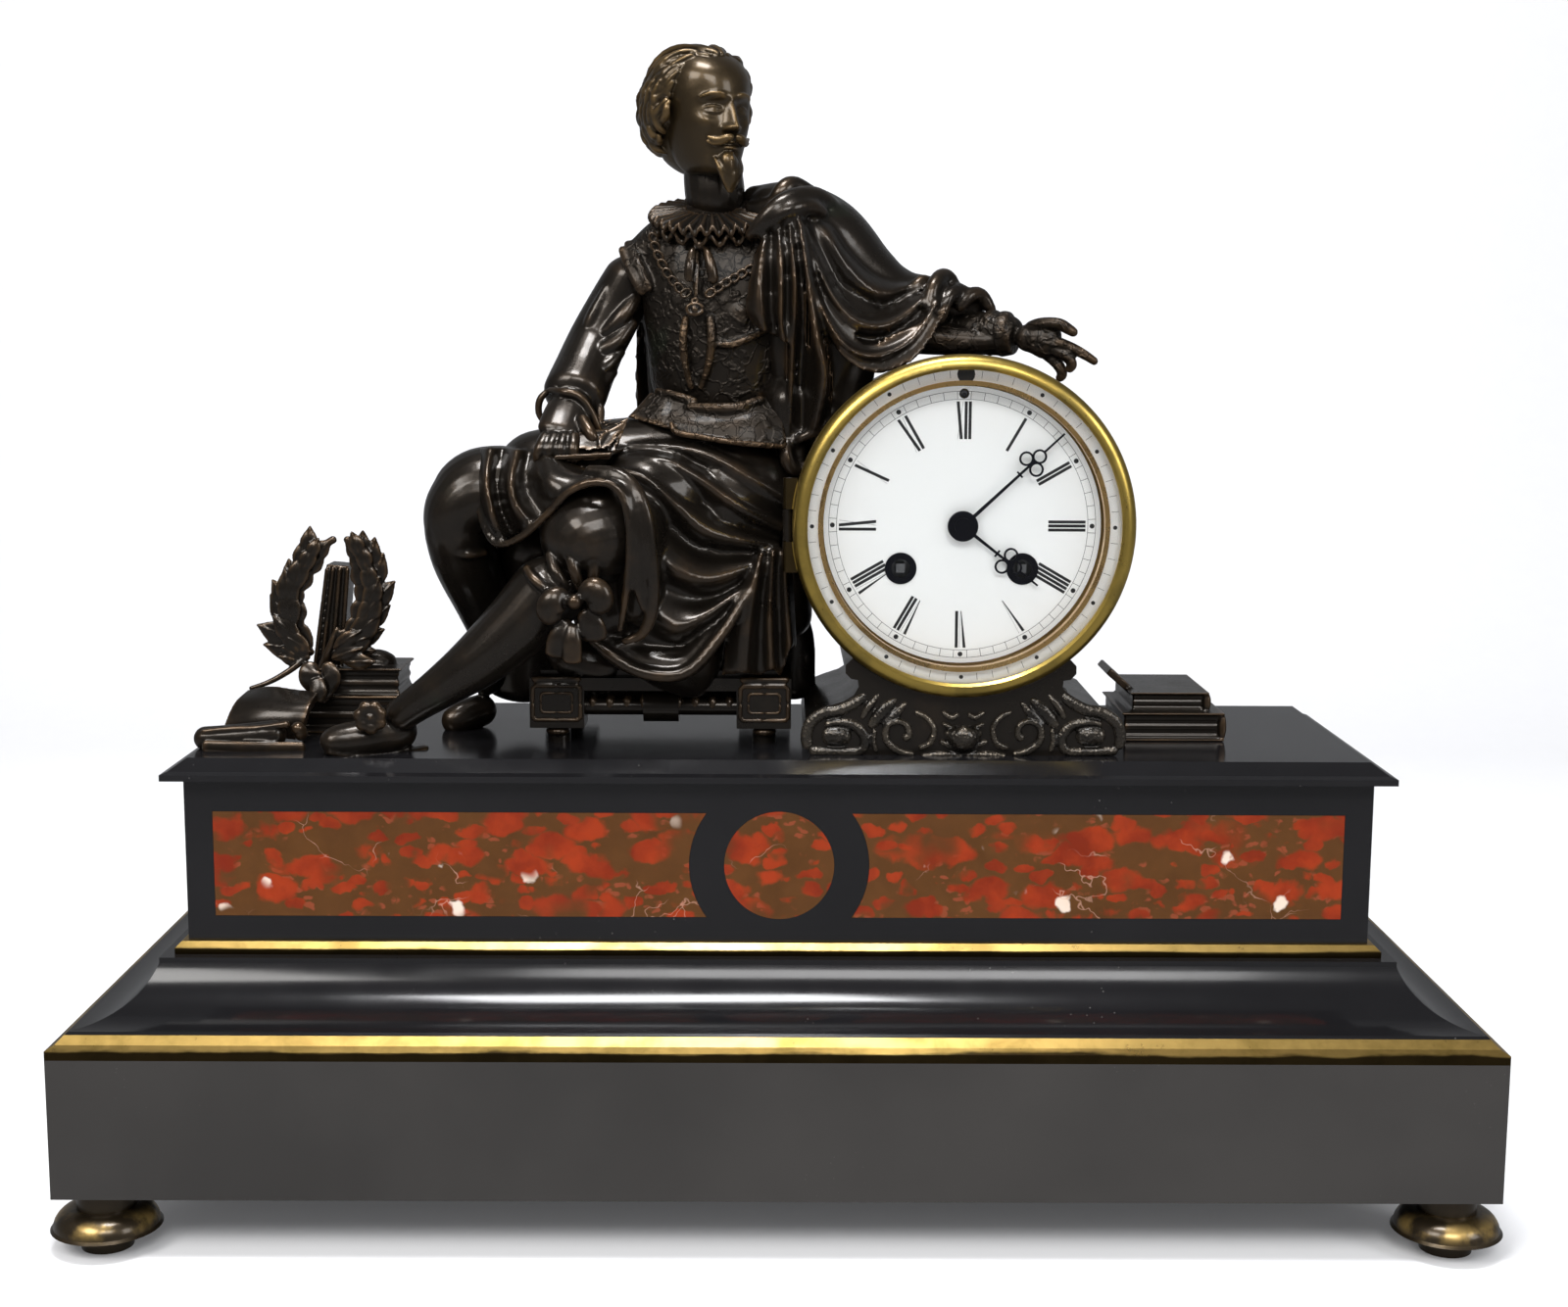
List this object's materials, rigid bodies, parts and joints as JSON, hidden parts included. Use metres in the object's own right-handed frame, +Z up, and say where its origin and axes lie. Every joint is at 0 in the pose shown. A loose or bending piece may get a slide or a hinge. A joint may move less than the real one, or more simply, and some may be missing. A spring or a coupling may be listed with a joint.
{
  "type": "figural mantel clock",
  "caption": "Mantel clock with a seated bronze scholar leaning on a round drum movement, on a stepped black slate base with red marble inlays and gilt strips.",
  "frame": {"origin": "on the table under the middle of the base", "axes": "+Z up, -Y to the front where the dial faces, +X to the viewer's right"},
  "size_m": [0.55, 0.2248, 0.4602],
  "materials": {
    "slate": "polished black slate",
    "gilt_brass": "worn gilding, satin",
    "marble": "polished red mottled marble",
    "steel": "plain steel",
    "glass": "clear bevelled glass",
    "enamel": "glossy white enamel",
    "movement_brass": "polished brass",
    "bell_metal": "turned bell metal",
    "blued_steel": "blued steel",
    "bronze": "dark brown patinated bronze"
  },
  "bodies": {
    "case_body": {"bottom_slab": "slate", "block_front_slab": "slate", "back_slabs": "slate", "end_slabs": "slate", "cavetto_slab": "slate", "plinth_front_slab": "slate", "top_slab": "slate", "lower_gilt_strips": "gilt_brass", "upper_gilt_strips": "gilt_brass", "winding_collets": "gilt_brass", "inlay_left": "marble", "inlay_right": "marble", "inlay_roundel": "marble", "fixing_nuts": "steel", "hinge_pins": "steel", "dial": "enamel", "dial_pan": "movement_brass", "front_plate": "movement_brass", "back_plate": "movement_brass", "bell": "bell_metal", "base_feet": "bronze", "drum_case": "bronze", "scroll_stand": "bronze", "figure_torso": "bronze", "figure_head": "bronze", "neck_ruff": "bronze", "shoulder_cloak": "bronze", "right_arm": "bronze", "left_arm": "bronze", "lap_skirt": "bronze", "right_leg": "bronze", "left_leg": "bronze", "hand_book": "bronze", "stool": "bronze", "left_books": "bronze", "paper_sheets": "bronze", "laurel_wreath": "bronze", "right_books": "bronze"},
    "bezel_body": {"bezel_ring": "gilt_brass", "bezel_glass": "glass", "sight_ring": "gilt_brass", "margin_ring": "enamel"},
    "back_door_body": {"back_door": "gilt_brass"},
    "minute_body": {"minute_hand": "blued_steel", "hand_collet": "movement_brass", "cannon_pinion": "movement_brass", "centre_wheel": "movement_brass"},
    "hour_body": {"hour_hand": "blued_steel", "hour_wheel": "movement_brass"},
    "minute_wheel_body": {"minute_wheel": "movement_brass"},
    "third_body": {"third_wheel": "movement_brass"},
    "escape_body": {"escape_wheel": "movement_brass"},
    "going_barrel_body": {"going_barrel": "movement_brass"},
    "strike_barrel_body": {"strike_barrel": "movement_brass"},
    "going_winding_body": {"going_winding_arbor": "steel"},
    "strike_winding_body": {"strike_winding_arbor": "steel"},
    "anchor_body": {"anchor": "steel"},
    "pendulum_body": {"pendulum": "movement_brass"},
    "hammer_body": {"hammer": "steel"},
    "regulating_body": {"regulating_arbor": "steel"}
  },
  "joints": [
    {"name": "bezel_hinge", "type": "hinge", "parent": "case_body", "child": "bezel_body", "pos_m": [0.003, -0.0454, 0.271], "axis": [0, 0, -1], "range_deg": [0, 95]},
    {"name": "back_door_hinge", "type": "hinge", "parent": "case_body", "child": "back_door_body", "pos_m": [0.1342, 0.0476, 0.271], "axis": [0, 0, -1], "range_deg": [0, 100]},
    {"name": "minute_hand_spin", "type": "hinge", "parent": "case_body", "child": "minute_body", "pos_m": [0.0696, -0.04, 0.271], "axis": [0, 1, 0], "continuous": true},
    {"name": "hour_hand_spin", "type": "hinge", "parent": "case_body", "child": "hour_body", "pos_m": [0.0696, -0.04, 0.271], "axis": [0, 1, 0], "continuous": true},
    {"name": "minute_wheel_spin", "type": "hinge", "parent": "case_body", "child": "minute_wheel_body", "pos_m": [0.0696, -0.036, 0.259], "axis": [0, 1, 0], "continuous": true},
    {"name": "third_wheel_spin", "type": "hinge", "parent": "case_body", "child": "third_body", "pos_m": [0.0786, -0.012, 0.28659], "axis": [0, 1, 0], "continuous": true},
    {"name": "escape_wheel_spin", "type": "hinge", "parent": "case_body", "child": "escape_body", "pos_m": [0.0696, -0.012, 0.30101], "axis": [0, 1, 0], "continuous": true},
    {"name": "going_barrel_spin", "type": "hinge", "parent": "case_body", "child": "going_barrel_body", "pos_m": [0.0462, -0.008, 0.2544], "axis": [0, 1, 0], "continuous": true},
    {"name": "strike_barrel_spin", "type": "hinge", "parent": "case_body", "child": "strike_barrel_body", "pos_m": [0.093, -0.014, 0.2544], "axis": [0, 1, 0], "continuous": true},
    {"name": "going_winding_spin", "type": "hinge", "parent": "case_body", "child": "going_winding_body", "pos_m": [0.0462, -0.04, 0.2544], "axis": [0, 1, 0], "continuous": true},
    {"name": "strike_winding_spin", "type": "hinge", "parent": "case_body", "child": "strike_winding_body", "pos_m": [0.093, -0.04, 0.2544], "axis": [0, 1, 0], "continuous": true},
    {"name": "pendulum_swing", "type": "hinge", "parent": "case_body", "child": "pendulum_body", "pos_m": [0.0696, 0.017, 0.315], "axis": [0, 1, 0], "range_deg": [-3, 3]},
    {"name": "anchor_rock", "type": "hinge", "parent": "case_body", "child": "anchor_body", "pos_m": [0.0696, -0.01, 0.315], "axis": [0, 1, 0], "range_deg": [-3, 3]},
    {"name": "hammer_swing", "type": "hinge", "parent": "case_body", "child": "hammer_body", "pos_m": [0.1036, 0.01, 0.295], "axis": [0, -1, 0], "range_deg": [0, 15]},
    {"name": "regulating_spin", "type": "hinge", "parent": "case_body", "child": "regulating_body", "pos_m": [0.0696, -0.02, 0.3213], "axis": [0, 1, 0], "continuous": true}
  ],
  "couplings": [
    {"joint": "hour_hand_spin", "follows": "minute_hand_spin", "ratio": 0.083333},
    {"joint": "minute_wheel_spin", "follows": "minute_hand_spin", "ratio": -0.33333},
    {"joint": "third_wheel_spin", "follows": "minute_hand_spin", "ratio": -8},
    {"joint": "escape_wheel_spin", "follows": "minute_hand_spin", "ratio": 60},
    {"joint": "going_barrel_spin", "follows": "minute_hand_spin", "ratio": -0.15},
    {"joint": "anchor_rock", "follows": "pendulum_swing", "ratio": 1}
  ]
}
